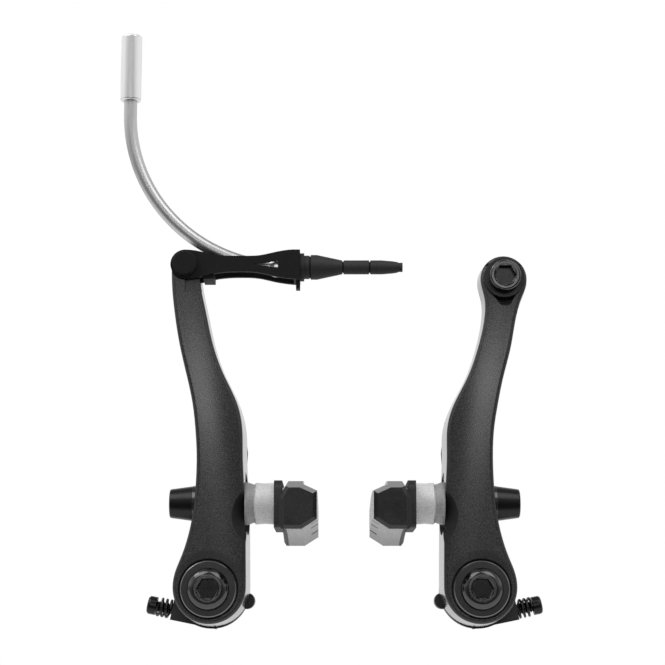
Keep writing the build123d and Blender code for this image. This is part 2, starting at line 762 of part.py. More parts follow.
# Arm that carries the link: its top is thinned to stand between the link's plates
with BuildPart() as left_arm:
    add(make_arm(-1, LINK_ARM_TOP, PIN_U, PIN_V, PIN_END_R).part)
    with BuildSketch(front(FRONT_PLATE - LINK_RECESS_GAP)):
        with Locations((LINK_X, PIN_V)):
            Circle(LINK_EYE_R + LINK_RECESS_GAP)
        with Locations((LINK_X + PIN_END_R, PIN_V + PIN_END_R - LINK_EYE_R)):
            Rectangle(2 * PIN_END_R, 4 * PIN_END_R)
    extrude(amount=ARM_FRONT, mode=Mode.SUBTRACT)
    with BuildSketch(front(0)):
        with Locations((LINK_X, PIN_V)):
            Circle(PIN_R)
    extrude(amount=ARM_FRONT, mode=Mode.SUBTRACT)
save(left_arm, "left_arm")

# Arm that carries the anchor: bolt hole, and half of the cable's groove across its face
anchor_x = at(1, ANCHOR_U)
with BuildPart() as right_arm:
    add(make_arm(1, ANCHOR_ARM_TOP, ANCHOR_U, ANCHOR_V, ANCHOR_END_R).part)
    with BuildSketch(front(0)):
        with Locations((anchor_x, ANCHOR_V)):
            Circle(BOLT_R)
    extrude(amount=ARM_FRONT + 1, mode=Mode.SUBTRACT)
    with BuildSketch(Plane.YZ.offset(anchor_x)):
        with Locations((-ARM_FRONT, ANCHOR_V + CABLE_OFFSET)):
            Circle(CABLE_R)
    extrude(amount=2 * ANCHOR_END_R, both=True, mode=Mode.SUBTRACT)
    # tapered pocket that shows below the anchor's washer
    with BuildSketch(face_at(anchor_x, ANCHOR_V, ARM_FRONT - POCKET_DEEP)):
        with BuildLine():
            FilletPolyline(
                (-POCKET_TOP, -POCKET_TOP_DROP),
                (POCKET_TOP, -POCKET_TOP_DROP),
                (POCKET_SKEW + POCKET_TIP, -POCKET_TIP_DROP),
                (POCKET_SKEW - POCKET_TIP, -POCKET_TIP_DROP),
                radius=POCKET_CORNER,
                close=True,
            )
        make_face()
    extrude(amount=2 * POCKET_DEEP, mode=Mode.SUBTRACT)
save(right_arm, "right_arm")

with BuildPart() as anchor_washer:
    with BuildSketch(front(ARM_FRONT)):
        with Locations((anchor_x, ANCHOR_V)):
            Circle(ANCHOR_WASHER_R)
            Circle(BOLT_R, mode=Mode.SUBTRACT)
    extrude(amount=ANCHOR_WASHER)
    with BuildSketch(Plane.YZ.offset(anchor_x)):
        with Locations((-ARM_FRONT, ANCHOR_V + CABLE_OFFSET)):
            Circle(CABLE_R)
    extrude(amount=2 * ANCHOR_END_R, both=True, mode=Mode.SUBTRACT)
save(anchor_washer, "anchor_washer")

with BuildPart() as anchor_bolt:
    head_base = ARM_FRONT + ANCHOR_WASHER
    with BuildSketch(front(head_base)):
        with Locations((anchor_x, ANCHOR_V)):
            Circle(ANCHOR_HEAD_R)
    extrude(amount=ANCHOR_HEAD)
    fillet(anchor_bolt.faces().sort_by(Axis.Y)[0].edges(), ANCHOR_EDGE)
    hex_socket(anchor_x, ANCHOR_V, head_base + ANCHOR_HEAD, ANCHOR_HEX_DEEP)
    with BuildSketch(front(THIN_REAR)):
        with Locations((anchor_x, ANCHOR_V)):
            Circle(BOLT_R)
    extrude(amount=head_base - THIN_REAR)
save(anchor_bolt, "anchor_bolt")

# Link: two plates, an end wall that the noodle's nose passes, a stop tab and a finger tab
with BuildPart() as link:
    for depth in (FRONT_PLATE, REAR_PLATE):
        with BuildSketch(front(depth)):
            link_plate()
        extrude(amount=PLATE_THICK)
    with BuildSketch(front(REAR_PLATE)):
        with Locations((LINK_END_X - LINK_END_WALL / 2, PIN_V)):
            Rectangle(LINK_END_WALL, 2 * LINK_END)
    extrude(amount=FRONT_PLATE + PLATE_THICK - REAR_PLATE)
    with BuildSketch(front(REAR_PLATE)):
        with Locations(((STOP_TAB_X + STOP_TAB_END_X) / 2, PIN_V - (STOP_TAB_LOW + LINK_NECK) / 2)):
            Rectangle(STOP_TAB_END_X - STOP_TAB_X, STOP_TAB_LOW - LINK_NECK)
    extrude(amount=FRONT_PLATE + PLATE_THICK / 2 - REAR_PLATE)
    with BuildSketch(front(LINK_DEPTH - FINGER_WIDE / 2)):
        with Locations((LINK_END_X - FINGER_THICK / 2, PIN_V - (FINGER_LOW + LINK_NECK) / 2)):
            Rectangle(FINGER_THICK, FINGER_LOW - LINK_NECK)
    extrude(amount=FINGER_WIDE)
    with BuildSketch(Plane.YZ.offset(LINK_END_X)):
        with Locations((-LINK_DEPTH, PIN_V)):
            Circle(NOSE_R)
        with Locations((-LINK_DEPTH, PIN_V + LINK_END)):
            Rectangle(LINK_KEY_SLOT, 2 * LINK_END)
    extrude(amount=2 * LINK_END_WALL, both=True, mode=Mode.SUBTRACT)
    with BuildSketch(front(REAR_PLATE)):
        with Locations((LINK_X, PIN_V)):
            Circle(PIN_R + PIN_CLEARANCE)
    extrude(amount=ARM_FRONT, mode=Mode.SUBTRACT)
    with BuildSketch(front(FRONT_PLATE)):
        with BuildLine():
            Polyline(
                (WINDOW_TIP_X, PIN_V),
                (WINDOW_BASE_X, PIN_V - WINDOW_TALL / 2),
                (WINDOW_BASE_X, PIN_V + WINDOW_TALL / 2),
                close=True,
            )
        make_face()
    extrude(amount=PLATE_THICK, mode=Mode.SUBTRACT)
save(link, "link")

with BuildPart() as link_pin:
    cap = FRONT_PLATE + PLATE_THICK + CAP_GAP
    clip = REAR_PLATE - CAP_GAP
    with BuildSketch(front(clip - 2 * CLIP_THICK)):
        with Locations((LINK_X, PIN_V)):
            Circle(PIN_R)
    extrude(amount=cap - clip + 2 * CLIP_THICK)
    with BuildSketch(front(cap)):
        with Locations((LINK_X, PIN_V)):
            Circle(CAP_R)
    extrude(amount=CAP_TALL)
    chamfer(link_pin.faces().sort_by(Axis.Y)[0].edges(), CAP_EDGE)
save(link_pin, "link_pin")

with BuildPart() as link_clip:
    with BuildSketch(front(clip - CLIP_THICK)):
        with Locations((LINK_X, PIN_V)):
            Circle(CLIP_R)
            Circle(PIN_R, mode=Mode.SUBTRACT)
    extrude(amount=CLIP_THICK)
save(link_clip, "link_clip")

# Noodle: a pipe bent through a quarter turn, a liner inside, a ferrule above, a tip in the link
bend_x = NOODLE_END_X - NOODLE_LEAD
bend_z = PIN_V + NOODLE_BEND
noodle_x = bend_x - NOODLE_BEND
ferrule_low = bend_z + FERRULE_RISE
ferrule_top = ferrule_low + FERRULE_LENGTH


def noodle_pipe(outer, inner):
    """Straight length in the ferrule, quarter bend, straight length in the link."""
    with BuildSketch(Plane((noodle_x, -LINK_DEPTH, bend_z))) as upper:
        Circle(outer)
        if inner:
            Circle(inner, mode=Mode.SUBTRACT)
    extrude(upper.sketch, amount=ferrule_low + FERRULE_GRIP - bend_z)
    revolve(upper.sketch, axis=Axis((bend_x, -LINK_DEPTH, bend_z), (0, -1, 0)), revolution_arc=90)
    with BuildSketch(Plane((bend_x, -LINK_DEPTH, PIN_V), x_dir=(0, 1, 0), z_dir=(1, 0, 0))) as lower:
        Circle(outer)
        if inner:
            Circle(inner, mode=Mode.SUBTRACT)
    extrude(lower.sketch, amount=NOODLE_END_X - bend_x)


with BuildPart() as noodle:
    noodle_pipe(NOODLE_R, NOODLE_BORE_R)
save(noodle, "noodle_tube")

with BuildPart() as liner:
    noodle_pipe(NOODLE_BORE_R, LINER_BORE_R)
save(liner, "noodle_liner")

with BuildPart() as ferrule:
    socket = ferrule_top - HOUSING_DEEP
    with BuildSketch(Plane((noodle_x, -LINK_DEPTH, 0), x_dir=(1, 0, 0), z_dir=(0, -1, 0))):
        with BuildLine():
            Polyline(
                (NOODLE_R, ferrule_low),
                (FERRULE_R, ferrule_low),
                (FERRULE_R, ferrule_top),
                (HOUSING_R, ferrule_top),
                (HOUSING_R, socket),
                (LINER_BORE_R, socket),
                (LINER_BORE_R, ferrule_low + FERRULE_GRIP),
                (NOODLE_R, ferrule_low + FERRULE_GRIP),
                close=True,
            )
        make_face()
    revolve(axis=Axis((noodle_x, -LINK_DEPTH, 0), (0, 0, 1)))
    rims = ferrule.edges().filter_by(GeomType.CIRCLE).filter_by(
        lambda e: abs(e.radius - FERRULE_R) < TINY)
    fillet(rims, FERRULE_EDGE)
save(ferrule, "noodle_ferrule")

with BuildPart() as noodle_space:
    noodle_pipe(NOODLE_R, None)

with BuildPart() as tip:
    wall = LINK_END_X - LINK_END_WALL
    cable_profile([
        (TIP_START_X - TIP_CONE, 0),
        (TIP_START_X - TIP_CONE, (NOODLE_R + TIP_R) / 2),
        (TIP_START_X, TIP_R),
        (wall, TIP_R),
        (wall, NOSE_R),
        (NOSE_END_X, NOSE_R),
        (NOSE_END_X, 0),
    ])
    add(noodle_space.part, mode=Mode.SUBTRACT)
    with BuildSketch(Plane.YZ.offset(NOSE_END_X)):
        with Locations((-LINK_DEPTH, PIN_V)):
            Circle(LINER_BORE_R)
    extrude(amount=TIP_START_X - TIP_CONE - NOSE_END_X - 1, mode=Mode.SUBTRACT)
save(tip, "noodle_tip")

with BuildPart() as boot:
    groove = BOOT_GROOVE / 2
    cable_profile([
        (LINK_END_X, NOSE_R),
        (LINK_END_X, BOOT_RIM_R),
        (LINK_END_X + BOOT_RIM, BOOT_RIM_R),
        (LINK_END_X + BOOT_RIM, BOOT_COLLAR_R),
        (BOOT_COLLAR_END_X - groove, BOOT_COLLAR_R),
        (BOOT_COLLAR_END_X, BOOT_CONE_R - BOOT_GROOVE),
        (BOOT_COLLAR_END_X + groove, BOOT_CONE_R),
        (BOOT_COLLAR_END_X + BOOT_CONE, BOOT_CONE_R),
        (BOOT_RING1_X - groove, BOOT_TUBE_R),
        (BOOT_RING1_X, BOOT_TUBE_R - BOOT_GROOVE),
        (BOOT_RING1_X + groove, BOOT_TUBE_R),
        (BOOT_RING2_X - groove, BOOT_TUBE_R),
        (BOOT_RING2_X, BOOT_TUBE_R - BOOT_GROOVE),
        (BOOT_RING2_X + groove, BOOT_TUBE_R),
        (BOOT_END_X - BOOT_NIB - BOOT_TAPER, BOOT_TUBE_R),
        (BOOT_END_X - BOOT_NIB - BOOT_TAPER / 3, (BOOT_TUBE_R + BOOT_TAPER_R) / 2),
        (BOOT_END_X - BOOT_NIB, BOOT_TAPER_R),
        (BOOT_END_X - BOOT_NIB, BOOT_NIB_R),
        (BOOT_END_X, BOOT_NIB_R),
        (BOOT_END_X, BOOT_BORE_R),
        (NOSE_END_X, BOOT_BORE_R),
        (NOSE_END_X, NOSE_R),
    ])
save(boot, "cable_boot")
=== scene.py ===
# %% Load the frame
import bpy
import json
from math import atan2, pi, radians
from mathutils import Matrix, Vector


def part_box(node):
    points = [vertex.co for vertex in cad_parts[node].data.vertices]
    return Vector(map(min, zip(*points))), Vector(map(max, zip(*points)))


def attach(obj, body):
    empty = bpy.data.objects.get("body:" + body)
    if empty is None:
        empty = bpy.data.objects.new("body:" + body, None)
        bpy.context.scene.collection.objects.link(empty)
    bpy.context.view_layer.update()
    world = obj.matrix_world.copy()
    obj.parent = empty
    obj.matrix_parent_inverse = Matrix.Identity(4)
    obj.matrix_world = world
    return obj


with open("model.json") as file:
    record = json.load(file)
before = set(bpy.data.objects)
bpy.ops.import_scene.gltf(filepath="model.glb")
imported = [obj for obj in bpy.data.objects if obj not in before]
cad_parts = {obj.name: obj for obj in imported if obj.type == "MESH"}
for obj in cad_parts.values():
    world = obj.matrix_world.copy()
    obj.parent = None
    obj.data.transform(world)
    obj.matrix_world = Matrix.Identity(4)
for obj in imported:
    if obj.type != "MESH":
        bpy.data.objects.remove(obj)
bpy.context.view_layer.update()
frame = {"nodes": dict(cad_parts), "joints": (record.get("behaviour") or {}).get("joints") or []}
nodes = frame["nodes"]
joints = {joint["name"]: joint for joint in frame["joints"]}

# %% [markdown]
# # A linear-pull bicycle brake
# The frame above holds every piece of the brake as a solid: two painted arms, the shoes,
# the springs, the link and the bent guide pipe. This lesson gives the pieces their
# finishes, adds the threads of the two small screws, and lights the set as a catalogue
# picture is lit. Blender counts in metres here, in the frame of the solids, so a size in
# millimetres is written with MM.

# %% [markdown]
# ## The camera
# The brake is seen from the front, a little from below, with a long lens. A camera could
# be aimed with a constraint, but a plain place and tilt is easier to read. The tilt looks
# up, so the undersides of the pads show and the tops don't.

# %% Camera
MM = 0.001
CAMERA_PLACE = Vector((-3.87, -584.0, -15.05)) * MM
CAMERA_TILT = radians(9.7)
CAMERA_LENS = 96.87
SENSOR_WIDTH = 36.0

camera = bpy.data.objects.new("catalogue_camera", bpy.data.cameras.new("catalogue_camera"))
bpy.context.scene.collection.objects.link(camera)
camera.location = CAMERA_PLACE
camera.rotation_euler = (pi / 2 + CAMERA_TILT, 0, 0)
camera.data.lens = CAMERA_LENS
camera.data.sensor_width = SENSOR_WIDTH
camera.data.clip_start = 10 * MM
bpy.context.scene.camera = camera
bpy.context.scene.view_settings.view_transform = "Standard"
print("camera at", [round(x, 3) for x in CAMERA_PLACE])

# %% [markdown]
# ## Shader maths as plain expressions
# A material is a net of nodes. Wiring each Math node by hand hides the idea, so one
# small class wraps an output socket: adding or multiplying two of them adds the Math
# node, and every other node comes from its one method, node().


# %% Signals
class Signal:
    """An output socket, or with no socket the start of a net of nodes."""

    def __init__(self, tree, socket=None):
        self.tree = tree
        self.socket = socket

    def node(self, kind, settings=None, inputs=None, output=0):
        """Adds a node, first with its settings, then with its sockets' values or links."""
        made = self.tree.nodes.new("ShaderNode" + kind)
        for name, value in (settings or {}).items():
            setattr(made, name, value)
        for name, value in (inputs or {}).items():
            if isinstance(value, Signal):
                self.tree.links.new(value.socket, made.inputs[name])
            else:
                made.inputs[name].default_value = value
        return Signal(self.tree, made.outputs[output] if made.outputs else None)

    def math(self, operation, first, second=0.0):
        """Adds a Math node."""
        return self.node("Math", {"operation": operation}, {0: first, 1: second})

    def __add__(self, other):
        return self.math("ADD", self, other)

    def __radd__(self, other):
        return self.math("ADD", other, self)

    def __sub__(self, other):
        return self.math("SUBTRACT", self, other)

    def __rsub__(self, other):
        return self.math("SUBTRACT", other, self)

    def __mul__(self, other):
        return self.math("MULTIPLY", self, other)

    def __rmul__(self, other):
        return self.math("MULTIPLY", other, self)

    def __pow__(self, other):
        return self.math("POWER", self, other)

    def __abs__(self):
        return self.math("ABSOLUTE", self)

    def ramp(self, start, end, low=0.0, high=1.0):
        """This value carried smoothly from one range to another."""
        span = {"Value": self, "From Min": start, "From Max": end, "To Min": low, "To Max": high}
        return self.node("MapRange", {"interpolation_type": "SMOOTHSTEP"}, span)


print("signals: + - * ** abs and ramp make nodes")

# %% [markdown]
# ## Places, directions and grain
# A finish that varies needs something to vary with. Object coordinates tell where a point
# of the surface is, and the normal tells which way it faces. Both stay with a piece when
# it moves, which the camera's and the world's coordinates don't. Noise on the same
# coordinates gives a grain of any fineness.

# %% Places and grain
FINE_GRAIN = 2600.0


def place(net, axis):
    """One Object coordinate of the surface, in metres."""
    spot = net.node("TexCoord", output="Object")
    return net.node("SeparateXYZ", inputs={"Vector": spot}, output=axis)


def facing(net, axis):
    """How far the surface faces along one axis, from -1 to 1."""
    normal = net.node("TexCoord", output="Normal")
    return net.node("SeparateXYZ", inputs={"Vector": normal}, output=axis)


def slanted(net, flat=0.95):
    """1 where the surface slants between forward and sideways, 0 elsewhere."""
    forward = abs(facing(net, "Y"))
    return forward.ramp(0.3, 0.5) * forward.ramp(flat, flat - 0.1)


def distance(*steps):
    """The length of a line from its steps along the axes."""
    squares = [step * step for step in steps]
    return sum(squares[1:], squares[0]) ** 0.5


def grain(net, scale, detail=2.0, stretch=(1, 1, 1)):
    """Noise on Object coordinates, in grains per metre, from 0 to 1."""
    spot = net.node("TexCoord", output="Object")
    spot = net.node("Mapping", inputs={"Vector": spot, "Scale": stretch})
    return net.node("TexNoise", inputs={"Vector": spot, "Scale": scale, "Detail": detail})


print("fine grain:", FINE_GRAIN, "grains per metre")

# %% [markdown]
# ## Opening and closing a finish
# Every finish of the brake ends in one Principled shader. The solids' edges are as thin
# as a razor, which no real piece has. A Bevel modifier could cut them, but the solids
# stay as they are, so a Bevel node rounds the shading alone.


# %% Finish helpers
def new_finish(name):
    """A new material with an empty net. Returns (material, the start of its net)."""
    material = bpy.data.materials.new(name)
    material.use_nodes = True
    material.node_tree.nodes.clear()
    return material, Signal(material.node_tree)


def grey(level):
    """A neutral colour."""
    return (level,) * 3


def tint(net, amount, dark, light):
    """A colour between two, by a signal from 0 to 1."""
    sockets = {0: amount, 6: (*dark, 1), 7: (*light, 1)}
    return net.node("Mix", {"data_type": "RGBA"}, sockets, output=2)


def soft_edges(net, radius, height=None, strength=1.0, depth=0.1 * MM):
    """A normal that rounds thin edges by a radius, with an optional bump on top."""
    rounded = net.node("Bevel", {"samples": 6}, {"Radius": radius})
    if height is None:
        return rounded
    relief = {"Strength": strength, "Distance": depth, "Height": height, "Normal": rounded}
    return net.node("Bump", inputs=relief)


def close_finish(net, surface):
    """Wires a Principled shader's values and its output."""
    shader = net.node("BsdfPrincipled", inputs=surface)
    net.node("OutputMaterial", inputs={"Surface": shader})


print("finish helpers: tint, soft edges, Principled shader")

# %% [markdown]
# ## Painted arms: where the flake lies, and painted shade
# The arms are forged aluminium in black paint with a very fine metal flake. The round
# scoop beside each shoe and the pocket under the cable anchor get no flake and stay deep
# black, a painted shade in these hollows. The flake is also cut down along the arms'
# rounded edges, a painted shade of their outline, and in a crescent above each pivot, a
# painted shade of a shallow hollow that the solid lacks. Such areas could be painted by
# hand on a map, but the distance from a point and the way that the surface faces give
# each mask exactly, and on both arms at once.

# %% Masks of the flake and painted shade
PIVOT = Vector(joints["right_arm_pivot"]["pos_m"])
SCOOP_CENTRE = Vector((24.9, -29.0, 22.8)) * MM
SCOOP_RADIUS = 11.5 * MM
SCOOP_EDGE = (SCOOP_RADIUS + 0.05 * MM, SCOOP_RADIUS + 0.35 * MM)
POCKET_CENTRE = Vector((51.0, -21.4, 91.0)) * MM
POCKET_HALF = Vector((4.8, 2.2, 4.5)) * MM
POCKET_BLUR = 0.2 * MM
HOLLOW_SHADE_RISE = 2.6 * MM
HOLLOW_SHADE_EDGE = (10.2 * MM, 8.6 * MM)
HOLLOW_SHADE_FADE = 4.0 * MM
PAINTED_EDGE_SHADE = 0.9

flake_paint, net = new_finish("flake_paint")
x, y, z = (place(net, axis) for axis in "XYZ")
# Inside the scoop and the pocket the flake is left out: painted shade in these hollows.
from_scoop = distance(abs(x) - SCOOP_CENTRE.x, y - SCOOP_CENTRE.y, z - SCOOP_CENTRE.z)
in_pocket = [
    abs(along - centre).ramp(half, half - POCKET_BLUR)
    for along, centre, half in zip((x, y, z), POCKET_CENTRE, POCKET_HALF)
]
pocket = in_pocket[0] * in_pocket[1] * in_pocket[2]
# Slanted edges lose most flake: a painted shade along the arms' outlines.
flake_minus_painted_shade = from_scoop.ramp(*SCOOP_EDGE) * (1 - pocket) * (1 - PAINTED_EDGE_SHADE * slanted(net, flat=0.98))

# A crescent above each pivot is darkened: painted shade of a hollow that the solid lacks.
above_pivot = z - (PIVOT.z + HOLLOW_SHADE_RISE)
from_pivot = distance(abs(x) - PIVOT.x, above_pivot)
painted_hollow_shade = from_pivot.ramp(*HOLLOW_SHADE_EDGE) * above_pivot.ramp(0.0, HOLLOW_SHADE_FADE)
print("flake masks:", len(flake_paint.node_tree.nodes), "nodes")

# %% [markdown]
# ## Painted arms: the crowned face
# A forged face is never quite flat. This one is very slightly crowned, which turns one
# grey into a soft gradient. That is too little to change the outline, so a Bump node
# tilts the shading alone. Its height falls away inboard of a line up the arm, as on a
# large circle, and towards the arm's two ends.

# %% Height of the crowned face
CROWN_X = 49.0 * MM
CROWN_Z = 69.0 * MM
CROWN_LEAN = 0.12
CROWN_RADIUS = 52.0 * MM
CROWN_DROP = 3.9 * MM
CROWN_REACH = 90.0 * MM

ridge_x = CROWN_X + CROWN_LEAN * (z - CROWN_Z)
inboard = net.math("MAXIMUM", ridge_x - abs(x), 0.0)
crown = -0.5 / CROWN_RADIUS * inboard * inboard
crown = crown - CROWN_DROP * abs(z - CROWN_Z).ramp(0.0, CROWN_REACH)
print("crowned face: radius", round(CROWN_RADIUS / MM, 1), "mm")

# %% [markdown]
# ## Painted arms: the flake itself
# A photograph of real flake could be laid on, but a cell pattern on Object coordinates
# needs no image and stays fixed to the arm. Each cell gets its own grey, and squaring it
# leaves most flakes dark and a few bright. A slow cloud keeps large faces from looking
# printed.

# %% Flake paint
FLAKES = 6500.0
CLOUDS = 45.0
PAINT_BLACK = (0.005, 0.005, 0.0053)
FLAKE_GREY = (0.13, 0.13, 0.134)
HOLLOW_SHADE_STRENGTH = 0.7
BARE_ROUGHNESS = 0.6
PAINT_EDGE = 0.35 * MM
GRAIN_HEIGHT = 0.005 * MM


def flakes(net, scale):
    """A random grey for each small cell of the surface."""
    spot = net.node("TexCoord", output="Object")
    cell = net.node("TexVoronoi", inputs={"Vector": spot, "Scale": scale}, output="Color")
    return net.node("SeparateColor", inputs={"Color": cell})


cloud = grain(net, CLOUDS, detail=3.0)
# The flake is dimmed in the crescent above each pivot: painted shade.
sparkle = (0.3 + 0.5 * cloud) * flakes(net, FLAKES) ** 2.0 * (1 - HOLLOW_SHADE_STRENGTH * painted_hollow_shade)
gloss = 0.12 + (0.16 - 0.05 * cloud) * abs(facing(net, "Y"))
relief = crown + GRAIN_HEIGHT * grain(net, FINE_GRAIN)
close_finish(net, {
    "Base Color": tint(net, sparkle * flake_minus_painted_shade, PAINT_BLACK, FLAKE_GREY),
    "Roughness": gloss * flake_minus_painted_shade + BARE_ROUGHNESS * (1 - flake_minus_painted_shade),
    "Specular IOR Level": 0.8,
    "Normal": soft_edges(net, PAINT_EDGE, relief, depth=1.0),
})
print("flake paint:", len(flake_paint.node_tree.nodes), "nodes")

# %% [markdown]
# ## Black bolts, washers and springs
# Bolts, nuts and washers are steel with a thin black oxide: still a metal, so it mirrors
# the white floor in its lower flanks, but darkly. One function makes these finishes,
# because they differ only in a few numbers. The washers under the pivot bolts are tinted
# lighter where the surface slants, a painted highlight along their edge. The hexagon
# sockets are darkened, a painted shade in these recesses. Each is found by its distance
# from the bolt's axis and its depth below the bolt's face.

# %% Black oxide
OXIDE_BLACK = grey(0.004)
STEEL_CLOUDS = 160.0
HARD_EDGE = 0.2 * MM
FINE_EDGE = 0.02 * MM
SOCKET_RADIUS = 3.5 * MM
SOCKET_DEPTH = 0.6 * MM
PAINTED_SOCKET_SHADE = 0.7


def socket_of(bolt):
    """Where the painted shade of a bolt's hexagon socket starts, on the bolt's axis."""
    low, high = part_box(bolt)
    middle = (low + high) / 2
    return Vector((middle.x, low.y + SOCKET_DEPTH, middle.z))


def oxide_steel(name, bare_grey, roughness, edge, grain_and_edge_highlight=0.0, sockets=()):
    """Black oxide on steel: a cloudy dark metal; optional painted edge highlight and socket shade.
    """
    material, net = new_finish(name)
    cloud = grain(net, STEEL_CLOUDS, detail=4.0)
    fine = grain(net, FINE_GRAIN)
    # Slanted surfaces get a lighter tint: a painted highlight on the washers' edges.
    bare = 0.1 + 0.1 * fine + grain_and_edge_highlight * slanted(net)
    for x, y, z in sockets:
        near = distance(abs(place(net, "X")) - x, place(net, "Z") - z)
        round_hole = near.ramp(SOCKET_RADIUS + 0.1 * MM, SOCKET_RADIUS)
        deep = place(net, "Y").ramp(y, y + 0.2 * MM)
        # Inside each hexagon socket the tint is darkened: painted shade in the recess.
        bare = bare * (1 - PAINTED_SOCKET_SHADE * (round_hole * deep))
    close_finish(net, {
        "Base Color": tint(net, bare, OXIDE_BLACK, grey(bare_grey)),
        "Roughness": roughness + 0.16 * (cloud - 0.5),
        "Metallic": 1.0,
        "Normal": soft_edges(net, edge, fine, 0.05),
    })
    return material


SOCKETS = [socket_of("right_pivot_bolt"), socket_of("anchor_bolt")]
black_steel = oxide_steel("black_steel", 0.55, 0.16, HARD_EDGE, sockets=SOCKETS)
nut_steel = oxide_steel("nut_steel", 0.2, 0.3, HARD_EDGE)
edge_highlight_steel = oxide_steel("edge_highlight_steel", 0.3, 0.34, FINE_EDGE, grain_and_edge_highlight=0.5)
spring_wire = oxide_steel("spring_wire", 0.3, 0.35, FINE_EDGE)
print("sockets at", [[round(v / MM, 1) for v in socket] for socket in SOCKETS], "mm")

# %% [markdown]
# ## The pressed link
# The link is pressed from sheet steel and painted dull black. It could share the bolts'
# oxide, but a metal mirrors the pale floor all along its underside. Paint with hardly any
# specular level stays black there.

# %% Link paint
LINK_DARK = grey(0.0119)
LINK_LIGHT = grey(0.0255)
LINK_ROUGHNESS = 0.55

link_steel, net = new_finish("link_steel")
cloud = grain(net, STEEL_CLOUDS, detail=4.0)
fine = grain(net, FINE_GRAIN)
close_finish(net, {
    "Base Color": tint(net, fine, LINK_DARK, LINK_LIGHT),
    "Roughness": LINK_ROUGHNESS + 0.16 * (cloud - 0.5),
    "Specular IOR Level": 0.06,
    "Normal": soft_edges(net, HARD_EDGE, fine, 0.08),
})
print("link paint:", len(link_steel.node_tree.nodes), "nodes")

# %% [markdown]
# ## Tumbled washers
# The rounded washers that let a shoe tilt are tumbled aluminium: matte and light grey,
# with a fine speck. The convex ones get a darker copy, a painted shade where they sit
# beside the arm. A full metal would mirror the dark arm beside it, and a tumbled skin
# scatters light as stone does, so the Metallic value is low.


# %% Tumbled washers
def tumbled_metal(name, dark, light):
    """Matte tumbled aluminium with a fine speck."""
    material, net = new_finish(name)
    speck = grain(net, FINE_GRAIN, detail=3.0).ramp(0.3, 0.7)
    close_finish(net, {
        "Base Color": tint(net, speck, grey(dark), grey(light)),
        "Roughness": 0.5 + 0.2 * speck,
        "Metallic": 0.2,
        "Normal": soft_edges(net, HARD_EDGE, speck, 0.3),
    })
    return material


light_grey = tumbled_metal("light_grey", 0.7, 0.97)
# The convex washers get a darker copy of the tumbled finish: painted shade beside the arm.
shaded_tumbled_grey = tumbled_metal("shaded_tumbled_grey", 0.3, 0.5)
print("tumbled: 2 finishes")

# %% [markdown]
# ## The guide pipe's round normal
# The guide pipe is drawn steel with a quarter bend, and the solid's bend is made of small
# flat facets that a mirror finish would show. Smooth shading could hide them, but the
# solid's mesh isn't changed. The true round normal points away from the pipe's centre
# line, which is two straight lengths and a quarter circle, so it is worked out from the
# place on the surface.

# %% Pipe normal
BEND_RADIUS = 51.0 * MM

pipe_low, pipe_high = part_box("noodle_tube")
pipe_radius = (pipe_high.y - pipe_low.y) / 2
link_pin = Vector(joints["link_pivot"]["pos_m"])
pipe_x = pipe_low.x + pipe_radius
BEND_CENTRE = Vector((pipe_x + BEND_RADIUS, link_pin.y, link_pin.z + BEND_RADIUS))


def pipe_normal(net):
    """The pipe's own round normal, away from the nearest point of its centre line."""

    def vector(operation, first, second=(0, 0, 0)):
        return net.node("VectorMath", {"operation": operation}, {0: first, 1: second})

    # Past the ends of the bend one step is cut to 0, which makes the pipe straight there.
    spot = net.node("TexCoord", output="Object")
    step = vector("MINIMUM", vector("SUBTRACT", spot, BEND_CENTRE), (0, 1, 0))
    spoke = vector("NORMALIZE", vector("MULTIPLY", step, (1, 0, 1)))
    away = vector("SUBTRACT", step, vector("MULTIPLY", spoke, (BEND_RADIUS,) * 3))
    turn = {"vector_type": "NORMAL", "convert_from": "OBJECT", "convert_to": "WORLD"}
    return net.node("VectorTransform", turn, {"Vector": away})


print("bend centre", [round(v / MM, 1) for v in BEND_CENTRE], "mm")

# %% [markdown]
# ## Guide pipe, ferrule and plain steel
# The pipe has faint streaks along its length, and its ferrule is turned aluminium, which
# is lighter. Streaks come from noise that the Mapping node stretches one way. A Layer
# Weight makes the outline duller, as fine scratches do when seen along the metal. The
# bushes, posts and pins are plain steel with an even grain.

# %% Bare metal
STREAKS = 900.0
EVEN_GRAIN = 1500.0
SOFT_EDGE = 0.3 * MM


def streaked_metal(name, dark, light, roughness, on_pipe=False):
    """Bright metal with faint streaks along Z, duller towards its outline."""
    material, net = new_finish(name)
    streak = grain(net, STREAKS, detail=3.0, stretch=(1, 1, 0.06))
    rim = net.node("LayerWeight", inputs={"Blend": 0.5}, output="Facing").ramp(0.6, 0.95)
    close_finish(net, {
        "Base Color": tint(net, streak, grey(dark), grey(light)),
        "Roughness": roughness + 0.08 * streak + 0.5 * rim,
        "Metallic": 1.0,
        "Normal": pipe_normal(net) if on_pipe else soft_edges(net, SOFT_EDGE),
    })
    return material


drawn_steel = streaked_metal("drawn_steel", 0.52, 0.64, 0.34, on_pipe=True)
turned_aluminium = streaked_metal("turned_aluminium", 0.78, 0.9, 0.26)

plain_steel, net = new_finish("plain_steel")
grain_and_edge_highlight = grain(net, EVEN_GRAIN, detail=3.0)
close_finish(net, {
    "Base Color": tint(net, grain_and_edge_highlight, grey(0.4), grey(0.6)),
    "Roughness": 0.28 + 0.15 * grain_and_edge_highlight,
    "Metallic": 1.0,
    "Normal": soft_edges(net, 0.15 * MM, grain_and_edge_highlight, 0.05),
})
print("bare metal: 3 finishes")

# %% [markdown]
# ## Brake pads
# A pad is moulded rubber with a dusty bloom, on a duller holder. The bevels that face up
# are lighter, a painted highlight, and the other bevels lose the bloom and are darker, a
# painted shade. Pad and holder are one solid, so a second material would need its faces
# split. The distance from the wheel's middle plane tells the holder from the pad just as
# well, and the way that the surface faces picks the bevels.

